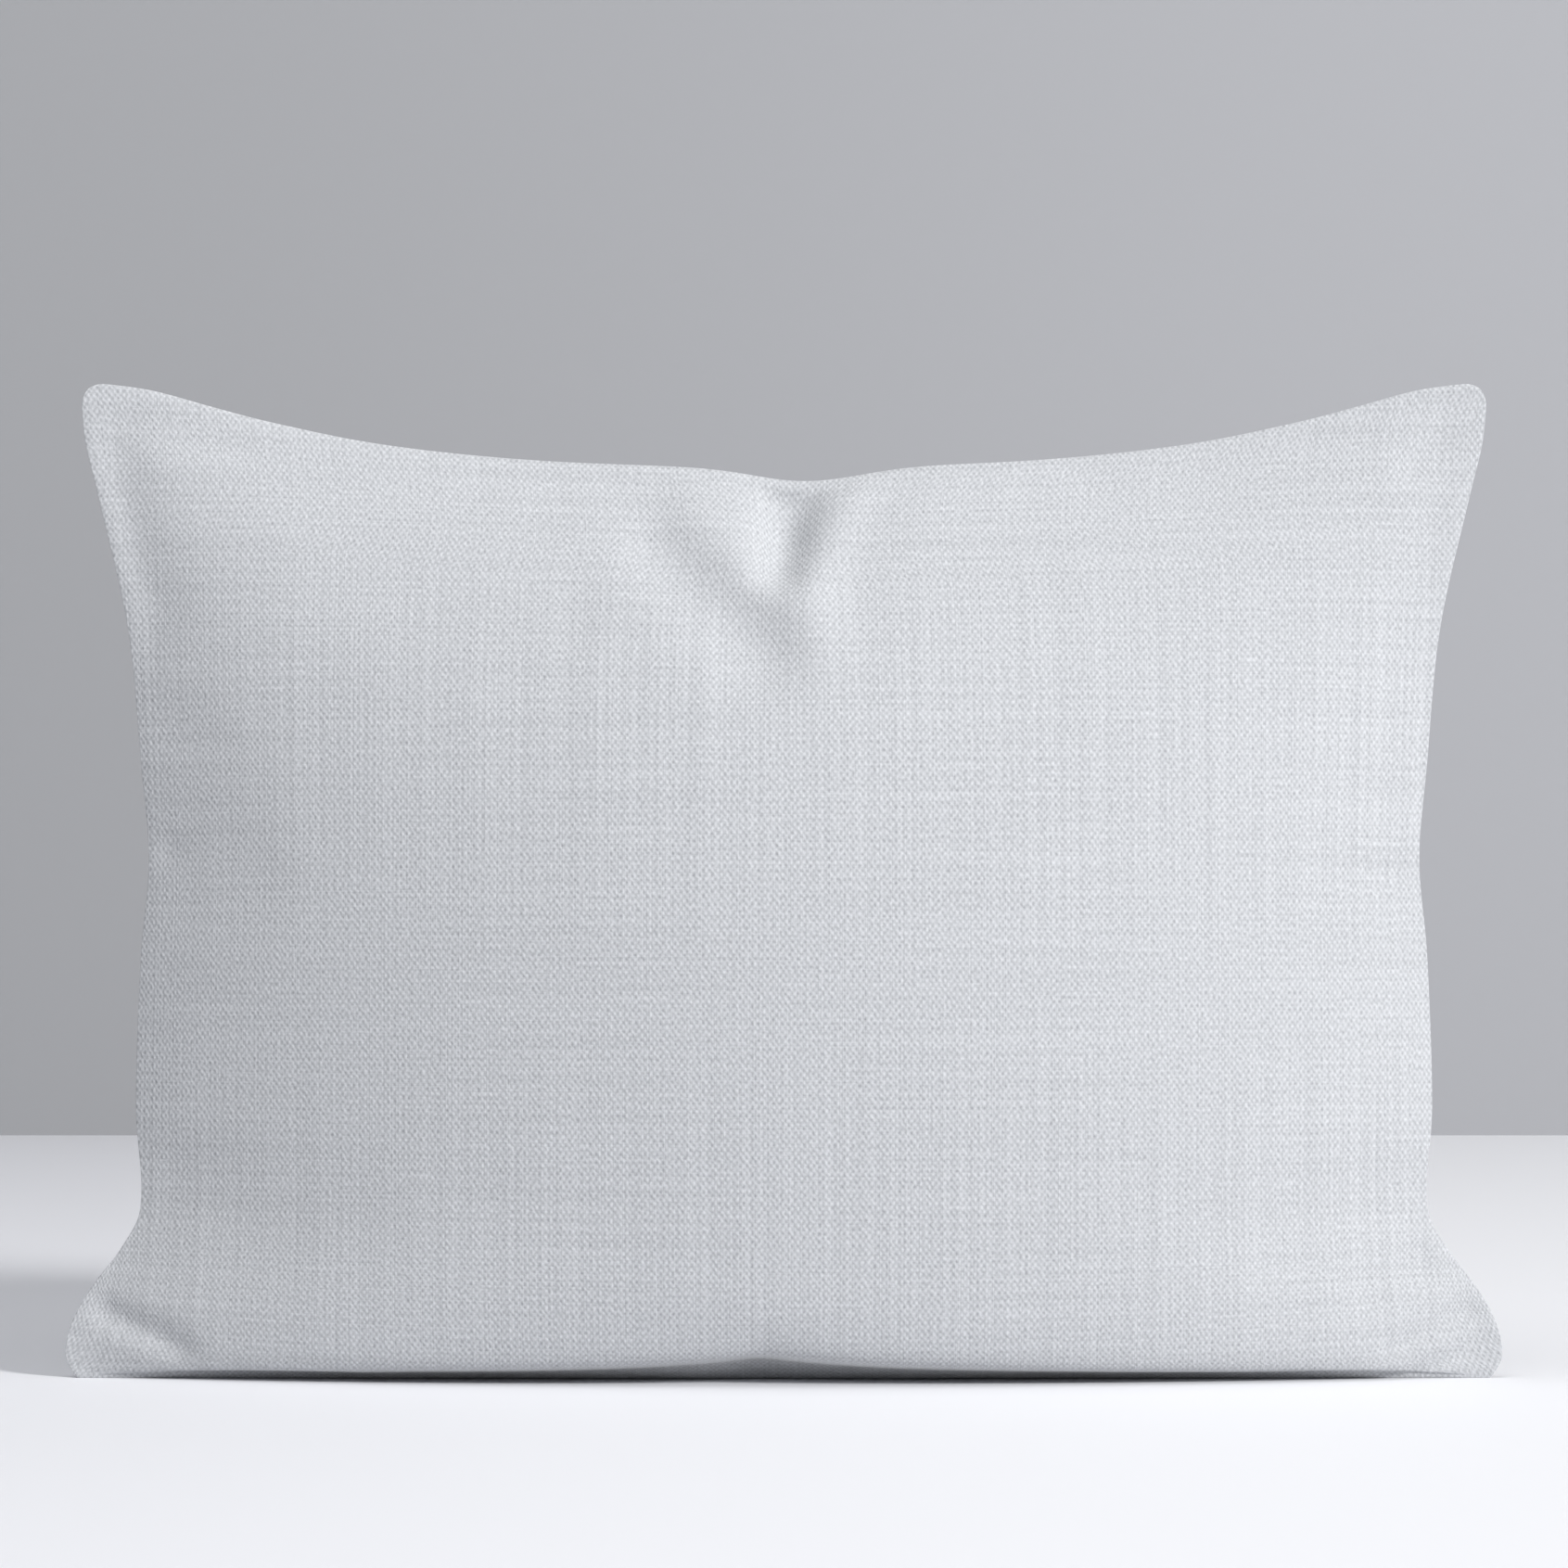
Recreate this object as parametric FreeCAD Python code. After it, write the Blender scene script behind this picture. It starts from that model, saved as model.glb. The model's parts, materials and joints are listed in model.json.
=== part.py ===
"""Rectangular knife-edge pillow: a zipped woven cover around a fibre-filled insert.

Millimetres, +Z up. The pillow stands on one long edge on the plane z = 0, its front
faces -Y, and the origin is the centre of its footprint. The zip runs across the lower
back along a level circular arc, so every zip piece is revolved about one upright axis.
"""
import FreeCAD
import Part

import math
import os

V = FreeCAD.Vector
UP = V(0, 0, 1)

# ---- pillow shape -------------------------------------------------------------------
TOP_HALF_WIDTH = 250.0
CORNER_RADIUS = 9.0  # of the upper corners
# Height of the top seam at a distance from the middle: it climbs to level corners.
TOP_OUTLINE = (
    (0.0, 322.0),
    (45.0, 322.6),
    (97.0, 325.0),
    (146.0, 330.4),
    (185.0, 338.4),
    (206.0, 344.0),
    (226.0, 349.4),
    (250.0, 352.4),
)
CROWN = 51.0  # bulge of one face above its rim
CROWN_Z = 140.0  # height of the fullest level
SIDE_ROUND = 0.9  # share of the bulge lost evenly across; the rest is lost near the sides
SIDE_POWER = 8
EDGE_POWER = 2.2  # vertical profile: 1 - p ** EDGE_POWER
SQUASH_DEPTH = 90.0  # how much of the bottom the floor flattens away
SQUASH_POWER = 6
# Half width of the pillow at a height: flat ears at the floor, a waist, upper corners.
SIDE_OUTLINE = (
    (0.0, 250.0),
    (7.0, 254.0),
    (19.0, 252.0),
    (32.0, 245.0),
    (45.0, 235.0),
    (60.0, 227.5),
    (95.0, 229.2),
    (150.0, 227.4),
    (183.0, 224.6),
    (215.0, 227.2),
    (265.0, 232.0),
    (314.0, 243.0),
    (332.0, 247.2),
    (356.0, 249.0),
)

# ---- cloth layers, each lens: inset of its outline, crown, half rim, floor, depth -----
COVER_CLOTH = 0.9
CASING_CLOTH = 0.5
CASING_DEPTH = 3.5  # the insert lies this far inside, which leaves the zip its room
COVER_OUTSIDE = (0.0, CROWN, 0.9, 0.0, 0.0)
COVER_INSIDE = (1.6, CROWN - 0.3, 0.3, COVER_CLOTH, COVER_CLOTH)
CASING_OUTSIDE = (6.5, CROWN - 3.1, 0.6, CASING_DEPTH, CASING_DEPTH)
CASING_INSIDE = (7.4, CROWN - 3.3, 0.35, CASING_DEPTH + CASING_CLOTH, CASING_DEPTH + CASING_CLOTH)
FILL_OUTSIDE = (8.3, CROWN - 3.6, 0.15, 4.3, 4.3)
LABEL_OUTSIDE = (2.0, CROWN - 0.9, 0.3, 1.5, 1.5)
LABEL_INSIDE = (2.8, CROWN - 1.2, 0.3, 1.8, 1.8)
SEAM_HALF_GAP = 0.25  # half the gap between two panels along their seam
THREAD = 0.4  # sewing thread diameter

# ---- zip ------------------------------------------------------------------------------
ZIP_Z = 64.0  # height of the zip line
ZIP_RADIUS = 605.0  # radius of the level arc that the zip follows
ZIP_LEAN = math.radians(7.4)  # the back panel overhangs by this much here
ZIP_HALF_LENGTH = 165.0  # along the arc, from the middle to the end of the coils
SLOT_HALF_LENGTH = 169.0
SLOT_HALF_WIDTH = 5.5
TAPE_WIDTH = 12.0
TAPE_THICKNESS = 0.5
TAPE_FACE = -1.2  # outer face of the tape, measured outwards from the cover's surface
COIL_WIDTH = 1.9
COIL_HEIGHT = 1.6
CHAIN_HALF_GAP = 0.5  # half the space that the slider's post runs in
SLIDER_LENGTH = 9.0
SLIDER_WIDTH = 7.2
SLIDER_PLATE = 0.9
SLIDER_TOP = 1.65  # outer face of the slider's upper plate
SLIDER_BOTTOM = -3.0  # inner face of its lower plate
SLIDER_CORNER = 1.6
FLANGE_LENGTH = 5.4  # the side walls that hold the coils
FLANGE_THICKNESS = 0.8
TAPE_ROOM = 0.45  # between the tape's face and the flanges
POST_START, POST_END = 0.3, 3.3  # the post that parts the coils, along the slider
POST_HALF_WIDTH = 0.3
ARCH_HALF_LENGTH = 3.0  # the loop on the upper plate that holds the pull
ARCH_HALF_WIDTH = 0.9
ARCH_THICKNESS = 0.8
ARCH_TOP = 4.2
ARCH_CORNER = 1.0
SUNK = 0.1  # how far joined pieces reach into each other
PULL_LENGTH = 22.0
PULL_WIDTH = 6.0
PULL_THICKNESS = 1.0
PULL_AXIS = 2.6  # the pull's hinge axis, outwards from the cover's surface
PULL_CORNER = 2.4
PULL_WINDOW_LENGTH, PULL_WINDOW_WIDTH = 4.0, 3.0  # the opening that the arch passes through
GRIP_HOLE_RADIUS = 1.3
GRIP_HOLE_FROM_END = 4.2
STOP_LENGTH = 2.5
STOP_OVERHANG = 0.2  # of a stop past the coils
END_CLEARANCE = 1.5  # between the slider and a stop
TACK_WIDTH = 2.0  # bar tack at each end of the opening
STITCH_PITCH = 3.4
STITCH_LENGTH = 2.5
STITCH_ROW = 8.0  # topstitching, measured from the zip line
STITCH_LIFT = 0.4  # the CAD stitches are plain bars just clear of the cloth
CLOSING_STITCHES = 12  # each side of the middle
CLOSING_STITCH_PITCH = 6.0
CLOSING_STITCH = (1.0, 2.4)  # its size along and across the bottom seam
SLIDER_REST = ZIP_HALF_LENGTH - SLIDER_LENGTH / 2 - END_CLEARANCE
BLEND_FULL_Z, BLEND_END_Z = 14.0, 62.0  # the back follows the zip's cone near the zip
BLEND_FULL_X, BLEND_END_X = 170.0, 222.0

# ---- care label, on the inside of a side seam -------------------------------------------
LABEL_FROM_SEAM = 3.0
LABEL_REACH = 34.0
LABEL_HEIGHT = 28.0
LABEL_Z = 196.0

GRID_U = 33
GRID_V = 25
FAR = 700.0  # half size of the cutting blocks


def smooth(t):
    """0 to 1 with level ends."""
    t = min(1.0, max(0.0, t))
    return t * t * (3 - 2 * t)


def eased_steps(count):
    """0 to 1 in steps that get finer towards both ends."""
    return [(1 - math.cos(math.pi * i / (count - 1))) / 2 for i in range(count)]


U_STEPS = [2 * step - 1 for step in eased_steps(GRID_U)]
V_STEPS = eased_steps(GRID_V)


def through(points, at):
    """Value at a place, on a smooth cubic through the points of an outline."""
    i = max(k for k in range(len(points) - 1) if k == 0 or points[k][0] <= at)

    def slope(k):
        a, b = points[max(k - 1, 0)], points[min(k + 1, len(points) - 1)]
        return (b[1] - a[1]) / (b[0] - a[0])

    (p0, w0), (p1, w1) = points[i], points[i + 1]
    h = p1 - p0
    t = min(1.0, max(0.0, (at - p0) / h))
    rise = (3 - 2 * t) * t * t * (w1 - w0)
    return w0 + rise + h * t * (1 - t) * ((1 - t) * slope(i) - t * slope(i + 1))


def side_half_width(z):
    return through(SIDE_OUTLINE, z)


def top_z(u):
    return through(TOP_OUTLINE, abs(u) * TOP_HALF_WIDTH)


def rounded_corner(out, up):
    """Moves a point near an upper corner, given in corner radii, onto a round corner."""
    out, up = max(0.0, out), max(0.0, up)
    return out * math.sqrt(1 - up * up / 2) - out, up * math.sqrt(1 - out * out / 2) - up


def bottom_z(u):
    return -SQUASH_DEPTH * (1 - abs(u) ** SQUASH_POWER)


def across(u):
    """Share of the bulge left at u, from 1 in the middle to 0 at a side seam."""
    return SIDE_ROUND * (1 - u * u) + (1 - SIDE_ROUND) * (1 - abs(u) ** SIDE_POWER)


def upward(z, low, high):
    """Share of the bulge left at height z between the bottom and top seams."""
    p = (z - CROWN_Z) / (high - CROWN_Z) if z > CROWN_Z else (CROWN_Z - z) / (CROWN_Z - low)
    return 1 - min(1.0, p) ** EDGE_POWER


def zip_centre_y():
    """Y of the upright axis that the zip arc turns about."""
    face = CROWN * upward(ZIP_Z, bottom_z(0), top_z(0)) + COVER_OUTSIDE[2]
    return face - ZIP_RADIUS


CENTRE_Y = zip_centre_y()
AXIS_POINT = V(0, CENTRE_Y, 0)


def zip_cone_y(x, z, depth):
    """Y of the cone through the zip line, depth inside the cover's surface."""
    radius = ZIP_RADIUS + math.tan(ZIP_LEAN) * (z - ZIP_Z) - depth / math.cos(ZIP_LEAN)
    return CENTRE_Y + math.sqrt(radius**2 - x**2)


def lens_point(u, v, layer, side):
    """A point of one cloth layer. side is -1 for the front and +1 for the back."""
    inset, crown, rim, _, depth = layer
    low, high = bottom_z(u) + inset, top_z(u) - inset
    z = low + v * (high - low)
    edge = side_half_width(z) - inset
    out = 1 - (1 - abs(u)) * edge / CORNER_RADIUS
    shift_x, shift_z = rounded_corner(out, 1 - (high - z) / CORNER_RADIUS)
    x = u * edge + math.copysign(CORNER_RADIUS * shift_x, u)
    y = crown * across(u) * upward(z, low, high) + rim
    if side > 0:
        near_z = 1 - smooth((abs(z - ZIP_Z) - BLEND_FULL_Z) / (BLEND_END_Z - BLEND_FULL_Z))
        near_x = 1 - smooth((abs(x) - BLEND_FULL_X) / (BLEND_END_X - BLEND_FULL_X))
        y += near_z * near_x * (zip_cone_y(x, z, depth) - y)
    return V(x, side * y, z + CORNER_RADIUS * shift_z)


def lens(layer):
    """The closed solid inside one cloth layer, cut level at that layer's floor."""
    surfaces = []
    for side in (-1, 1):
        rows = []
        for u in U_STEPS:
            rows.append([lens_point(u, v, layer, side) for v in V_STEPS])
        surface = Part.BSplineSurface()
        surface.interpolate(rows)
        surfaces.append(surface)
    edges = []
    for s in surfaces:
        u0, u1, v0, v1 = s.bounds()
        edges.append([c.toShape() for c in (s.uIso(u0), s.uIso(u1), s.vIso(v0), s.vIso(v1))])
    rims = [Part.makeRuledSurface(a, b) for a, b in zip(*edges)]
    shell = Part.makeShell([s.toShape() for s in surfaces] + rims)
    shell.sewShape()
    solid = Part.Solid(shell)
    if solid.Volume < 0:
        solid.reverse()
    return solid.common(block(z0=layer[3]))


def block(x0=-FAR, x1=FAR, y0=-FAR, y1=FAR, z0=-FAR, z1=FAR):
    """A box between the given planes, large where none is given."""
    return Part.makeBox(x1 - x0, y1 - y0, z1 - z0, V(x0, y0, z0))


def band(c0, c1, n0, n1, s0, s1):
    """A strip along the zip arc. c is up the panel, n outwards and s along the arc."""
    lean_r, lean_z = math.sin(ZIP_LEAN), math.cos(ZIP_LEAN)
    corners = []
    for c, n in ((c0, n0), (c1, n0), (c1, n1), (c0, n1)):
        radius = ZIP_RADIUS + c * lean_r + n * lean_z
        corners.append(V(0, CENTRE_Y + radius, ZIP_Z + c * lean_z - n * lean_r))
    face = Part.Face(Part.makePolygon(corners + corners[:1]))
    face.rotate(AXIS_POINT, UP, -math.degrees(s0 / ZIP_RADIUS))
    return face.revolve(AXIS_POINT, UP, -math.degrees((s1 - s0) / ZIP_RADIUS))


def zip_placement(s):
    """Local x along the arc, y outwards and z up the panel, at s along the arc."""
    a = s / ZIP_RADIUS
    along = V(math.cos(a), -math.sin(a), 0)
    radial = V(math.sin(a), math.cos(a), 0)
    outwards = radial * math.cos(ZIP_LEAN) - UP * math.sin(ZIP_LEAN)
    upwards = radial * math.sin(ZIP_LEAN) + UP * math.cos(ZIP_LEAN)
    at = AXIS_POINT + radial * ZIP_RADIUS + UP * ZIP_Z
    rows = [[along[k], outwards[k], upwards[k], at[k]] for k in range(3)]
    return FreeCAD.Placement(FreeCAD.Matrix(*rows[0], *rows[1], *rows[2], 0, 0, 0, 1))


def placed(shape, s):
    """A shape drawn in the zip's local frame, moved to s along the arc."""
    moved = shape.copy()
    moved.Placement = zip_placement(s)
    return moved


def local_box(t0, t1, n0, n1, c0, c1):
    return Part.makeBox(t1 - t0, n1 - n0, c1 - c0, V(t0, n0, c0))


def cover_panels():
    """Front panel, and the back in two pieces that meet at the zip."""
    cloth = lens(COVER_OUTSIDE).cut(lens(COVER_INSIDE))
    front = cloth.common(block(y1=-SEAM_HALF_GAP))
    back = cloth.common(block(y0=SEAM_HALF_GAP))
    slot = band(-SLOT_HALF_WIDTH, SLOT_HALF_WIDTH, -3.0, 3.0, -SLOT_HALF_LENGTH, SLOT_HALF_LENGTH)
    back = back.cut(slot)
    return {
        "cover_front_panel": front,
        "cover_back_upper_panel": back.common(block(z0=ZIP_Z + 0.15)),
        "cover_back_lower_panel": back.common(block(z1=ZIP_Z - 0.15)),
    }


def seam_outline(inset, floor):
    """A layer's outline as a flat face in the seam plane, cut level at the floor."""
    layer = (inset, 0.0, 0.0, floor, 0.0)
    sides = (
        [lens_point(u, 0, layer, -1) for u in U_STEPS],
        [lens_point(1, v, layer, -1) for v in V_STEPS],
        [lens_point(u, 1, layer, -1) for u in reversed(U_STEPS)],
        [lens_point(-1, v, layer, -1) for v in reversed(V_STEPS)],
    )
    edges = []
    for points in sides:
        curve = Part.BSplineCurve()
        curve.interpolate(points)
        edges.append(curve.toShape())
    above_floor = Part.Face(Part.makePolygon([
        V(-FAR, 0, floor), V(FAR, 0, floor), V(FAR, 0, FAR), V(-FAR, 0, FAR), V(-FAR, 0, floor)
    ]))
    return Part.Face(Part.Wire(edges)).common(above_floor)


def seam_ring(layer, near, far):
    """A thread in the seam plane, from near to far inside a layer's outline."""
    inset, floor = layer[0], layer[3]
    ring = seam_outline(inset + near, floor + near).cut(seam_outline(inset + far, floor + far))
    return ring.extrude(V(0, THREAD, 0)).translated(V(0, -THREAD / 2, 0))


def insert_pieces():
    """The inner pillow: a two-panel casing, its fibre filling and its sewing."""
    casing = lens(CASING_OUTSIDE).cut(lens(CASING_INSIDE))
    stitches = []
    long, wide = CLOSING_STITCH
    for i in range(-CLOSING_STITCHES, CLOSING_STITCHES + 1):  # the hand-closed filling mouth
        corner = V(i * CLOSING_STITCH_PITCH - long / 2, -wide / 2, CASING_DEPTH - THREAD - SUNK)
        stitches.append(Part.makeBox(long, wide, THREAD, corner))
    return {
        "insert_casing_front": casing.common(block(y1=-SEAM_HALF_GAP)),
        "insert_casing_back": casing.common(block(y0=SEAM_HALF_GAP)),
        "insert_seam_thread": seam_ring(CASING_OUTSIDE, 0.05, 0.45),
        "insert_closing_stitches": Part.makeCompound(stitches),
        "fibre_fill": lens(FILL_OUTSIDE),
    }


def care_label():
    """A blank woven label that follows the inside of the back panel from a side seam."""
    edge = LABEL_FROM_SEAM - side_half_width(LABEL_Z)
    window = block(edge, edge + LABEL_REACH, THREAD, FAR, LABEL_Z, LABEL_Z + LABEL_HEIGHT)
    return lens(LABEL_OUTSIDE).cut(lens(LABEL_INSIDE)).common(window)


def upright_edges(shape):
    """The edges of a local box that run outwards from the cloth."""
    return [e for e in shape.Edges if abs(e.Vertexes[0].Y - e.Vertexes[-1].Y) > SUNK]


def zip_slider():
    """Two plates joined by a post, side flanges round the coils, and an arch on top."""
    half, wide = SLIDER_LENGTH / 2, SLIDER_WIDTH / 2
    under = SLIDER_TOP - SLIDER_PLATE
    above = SLIDER_BOTTOM + SLIDER_PLATE
    upper = local_box(-half, half, under, SLIDER_TOP, -wide, wide)
    lower = local_box(-half, half, SLIDER_BOTTOM, above, -wide, wide)
    body = upper.makeFillet(SLIDER_CORNER, upright_edges(upper))
    body = body.fuse(lower.makeFillet(SLIDER_CORNER, upright_edges(lower)))
    for sign in (-1, 1):
        c = sorted((sign * wide, sign * (wide - FLANGE_THICKNESS)))
        flange_half = FLANGE_LENGTH / 2
        flange = local_box(-flange_half, flange_half, TAPE_FACE + TAPE_ROOM, under + SUNK, *c)
        body = body.fuse(flange)
    post = (POST_START, POST_END, above - SUNK, under + SUNK, -POST_HALF_WIDTH, POST_HALF_WIDTH)
    sides = (-ARCH_HALF_WIDTH, ARCH_HALF_WIDTH)
    arch = local_box(-ARCH_HALF_LENGTH, ARCH_HALF_LENGTH, SLIDER_TOP - SUNK, ARCH_TOP, *sides)
    inside = ARCH_HALF_LENGTH - ARCH_THICKNESS
    top = [e for e in arch.Edges if min(v.Y for v in e.Vertexes) > ARCH_TOP - SUNK]
    arch = arch.makeFillet(ARCH_CORNER, [e for e in top if e.Length < 2 * ARCH_HALF_LENGTH - SUNK])
    arch = arch.cut(local_box(-inside, inside, SLIDER_TOP, ARCH_TOP - ARCH_THICKNESS, *sides))
    return placed(body.fuse(local_box(*post)).fuse(arch).removeSplitter(), SLIDER_REST)


def zip_pull():
    """A flat tab whose crossbar turns under the slider's arch, lying over the chain."""
    low, high = PULL_AXIS - PULL_THICKNESS / 2, PULL_AXIS + PULL_THICKNESS / 2
    wide, window = PULL_WIDTH / 2, PULL_WINDOW_WIDTH / 2
    tab = local_box(-PULL_LENGTH, 0.0, low, high, -wide, wide)
    far = [e for e in upright_edges(tab) if e.Vertexes[0].X < -PULL_LENGTH / 2]
    tab = tab.makeFillet(PULL_CORNER, far)
    tab = tab.cut(local_box(-PULL_WINDOW_LENGTH, PULL_THICKNESS, low, high, -window, window))
    grip_at = V(GRIP_HOLE_FROM_END - PULL_LENGTH, low, 0)
    tab = tab.cut(Part.makeCylinder(GRIP_HOLE_RADIUS, PULL_THICKNESS, grip_at, V(0, 1, 0)))
    bar = Part.makeCylinder(PULL_THICKNESS / 2, PULL_WIDTH, V(0, PULL_AXIS, -wide), UP)
    return placed(tab.fuse(bar).removeSplitter(), SLIDER_REST)


def zip_fixed_pieces():
    """Tapes, coils, stops and the sewing that holds the zip in the back panel."""
    pieces = {}
    end, slot = ZIP_HALF_LENGTH, SLOT_HALF_LENGTH
    gap, coil_top = CHAIN_HALF_GAP, TAPE_FACE + COIL_HEIGHT
    tape_end = slot + TACK_WIDTH
    for name, sign in (("upper", 1), ("lower", -1)):
        tape = sorted((sign * gap, sign * (gap + TAPE_WIDTH)))
        coil = sorted((sign * gap, sign * (gap + COIL_WIDTH)))
        row = sorted((sign * STITCH_ROW, sign * (STITCH_ROW + THREAD)))
        under = TAPE_FACE - TAPE_THICKNESS
        pieces["zip_tape_" + name] = band(*tape, under, TAPE_FACE, -tape_end, tape_end)
        pieces["zip_coil_" + name] = band(*coil, TAPE_FACE, coil_top, -end, end)
        count = int(slot / STITCH_PITCH)
        stitches = []
        for i in range(-count, count + 1):
            middle = i * STITCH_PITCH
            start, stop = middle - STITCH_LENGTH / 2, middle + STITCH_LENGTH / 2
            stitches.append(band(*row, STITCH_LIFT, STITCH_LIFT + THREAD, start, stop))
        pieces["zip_topstitch_" + name] = Part.makeCompound(stitches)
    wide = gap + COIL_WIDTH + STOP_OVERHANG
    stop_top = coil_top + STOP_OVERHANG
    stops = []
    for sign in (-1, 1):
        c = sorted((sign * (gap - STOP_OVERHANG), sign * wide))
        stops.append(band(*c, TAPE_FACE, stop_top, end, end + STOP_LENGTH))
    pieces["zip_top_stops"] = Part.makeCompound(stops)
    pieces["zip_bottom_stop"] = band(-wide, wide, TAPE_FACE, stop_top, -end - STOP_LENGTH, -end)
    reach = SLOT_HALF_WIDTH + TACK_WIDTH
    tacks = []
    for sign in (-1, 1):
        s = sorted((sign * (slot + THREAD), sign * (slot + TACK_WIDTH)))
        tacks.append(band(-reach, reach, STITCH_LIFT, STITCH_LIFT + THREAD, *s))
    pieces["zip_bar_tacks"] = Part.makeCompound(tacks)
    return pieces


def build():
    pieces = cover_panels()
    pieces["cover_seam_thread"] = seam_ring(COVER_OUTSIDE, 0.45, 0.85)
    pieces["care_label"] = care_label()
    pieces.update(insert_pieces())
    pieces.update(zip_fixed_pieces())
    pieces["zip_slider"] = zip_slider()
    pieces["zip_pull"] = zip_pull()
    return pieces


os.makedirs("parts", exist_ok=True)
for name, shape in build().items():
    shape.exportStep(os.path.join("parts", name + ".step"))
    print(name, len(shape.Solids), "solids", round(shape.Volume), "mm3", shape.isValid())
at_slider = zip_placement(SLIDER_REST)
hinge = at_slider.multVec(V(0, PULL_AXIS, 0))
print("zip arc centre y", CENTRE_Y, "travel", math.degrees(2 * SLIDER_REST / ZIP_RADIUS))
print("pull hinge", hinge, "axis", at_slider.Rotation.multVec(-UP))
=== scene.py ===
"""The looks of an oblong linen-look pillow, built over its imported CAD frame.

Metres, +Z up, front towards -Y. Every cloth layer is a grid of points (u across, v up)
on one crowned shape. The grid is folded, relaxed by a short cloth simulation, and then
cut into the cover's panels, the label, the insert's casing and the filling.
"""
import json
import math

import bmesh
import bpy
import numpy as np
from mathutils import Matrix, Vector


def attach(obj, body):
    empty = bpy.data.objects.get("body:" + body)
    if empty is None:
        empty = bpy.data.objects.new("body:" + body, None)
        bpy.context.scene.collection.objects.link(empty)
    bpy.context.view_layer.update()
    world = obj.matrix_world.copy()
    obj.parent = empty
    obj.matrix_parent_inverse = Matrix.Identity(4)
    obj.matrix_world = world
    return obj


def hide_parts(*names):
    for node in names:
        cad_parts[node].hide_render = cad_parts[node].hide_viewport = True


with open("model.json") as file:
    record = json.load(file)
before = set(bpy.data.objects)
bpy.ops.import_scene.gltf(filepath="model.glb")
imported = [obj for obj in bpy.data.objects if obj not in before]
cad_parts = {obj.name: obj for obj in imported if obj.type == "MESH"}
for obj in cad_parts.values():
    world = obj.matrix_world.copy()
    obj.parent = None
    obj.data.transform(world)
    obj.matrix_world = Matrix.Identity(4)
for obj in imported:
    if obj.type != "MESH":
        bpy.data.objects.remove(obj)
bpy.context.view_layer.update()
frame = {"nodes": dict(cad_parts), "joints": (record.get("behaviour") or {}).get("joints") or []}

MM = 0.001
TINY = 1e-6  # too small to matter, as a length or as a share

# ---- pillow shape, as in part.py, in metres ------------------------------------------
TOP_HALF_WIDTH = 0.250
CORNER_RADIUS = 0.009
TOP_OUTLINE = (
    (0.0, 0.3220),
    (0.045, 0.3226),
    (0.097, 0.3250),
    (0.146, 0.3304),
    (0.185, 0.3384),
    (0.206, 0.3440),
    (0.226, 0.3494),
    (0.250, 0.3524),
)
CROWN = 0.051
CROWN_Z = 0.140
SIDE_ROUND = 0.9
SIDE_POWER = 8
EDGE_POWER = 2.2
SQUASH_DEPTH = 0.090
SQUASH_POWER = 6
SIDE_OUTLINE = (
    (0.0, 0.2500),
    (0.007, 0.2540),
    (0.019, 0.2520),
    (0.032, 0.2450),
    (0.045, 0.2350),
    (0.060, 0.2275),
    (0.095, 0.2292),
    (0.150, 0.2274),
    (0.183, 0.2246),
    (0.215, 0.2272),
    (0.265, 0.2320),
    (0.314, 0.2430),
    (0.332, 0.2472),
    (0.356, 0.2490),
)

# ---- cloth layers ------------------------------------------------------------------------
RIM = 0.9 * MM  # half thickness of the cover along its seam
CASING_INSET, CASING_DEPTH = 6.5 * MM, 4.0 * MM  # inside the cover: at the seam, and elsewhere
FILL_INSET, FILL_DEPTH = 8.5 * MM, 4.8 * MM
LABEL_DEPTH = 1.5 * MM
THINNEST_HALF = 0.3 * MM  # half thickness of an inner layer along its seam
SEAM_HALF_GAP = 0.25 * MM
SEAM_REACH = 1.2 * MM  # cut edges this near the seam plane are turned towards it
TURN_IN = 0.9 * MM  # how far any other cut edge of the cloth is turned inwards
SEAM_THREAD_INSET = 0.65 * MM
PANEL_MIDDLE_Z = 0.17
FLOOR_LIFT = 4.0 * MM  # how far the bend above the floor clears it
ARCH_X, ARCH_REACH, ARCH_LIFT = -0.008, 0.070, 6.6 * MM  # further lift, towards the middle
CLEAR_SHARE, REST_SHARE = 0.50, 0.92  # the underside comes down between these shares of it
LIFT_FADE = 0.035  # the lift has faded out this far up the face
LIFT_POWER = 8  # keeps the lift even across the width, and lets it end at the ears
FLOOR_BEND = 7.0 * MM  # length of cloth, each way, that bends where the face meets the floor

# ---- zip, as in part.py, about the axis of the frame's own joint -------------------------
ZIP_Z = 0.064
ZIP_RADIUS = 0.605
ZIP_LEAN = math.radians(7.4)
ZIP_HALF_LENGTH = 0.165
SLOT_HALF_LENGTH = 0.169
SLOT_HALF_WIDTH = 5.5 * MM
TAPE_FACE = -1.2 * MM
COIL_WIDTH = 1.9 * MM
COIL_HEIGHT = 1.6 * MM
CHAIN_HALF_GAP = 0.5 * MM
COIL_PITCH = 1.3 * MM
COIL_WIRE = 0.27 * MM
STITCH_PITCH = 3.4 * MM
STITCH_LENGTH = 2.5 * MM
STITCH_ROW = 8.2 * MM  # from the middle of the zip
STITCH_SHAPE = ((-0.5, -0.3 * MM), (-0.35, 0.12 * MM), (0, 0.2 * MM))  # share along, height
THREAD_RADIUS = 0.2 * MM
TACK_OVERLAP = 1.6 * MM  # bar tack past each edge of the slot
TACK_FROM_SLOT = 1.2 * MM
TACK_HALF_WIDTH = 0.9 * MM
TACK_LIFT = 0.25 * MM
TACK_CROSSINGS = 15
TACK_RADIUS = 0.24 * MM
BLEND_FULL_Z, BLEND_END_Z = 0.014, 0.062
BLEND_FULL_X, BLEND_END_X = 0.170, 0.222
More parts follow.
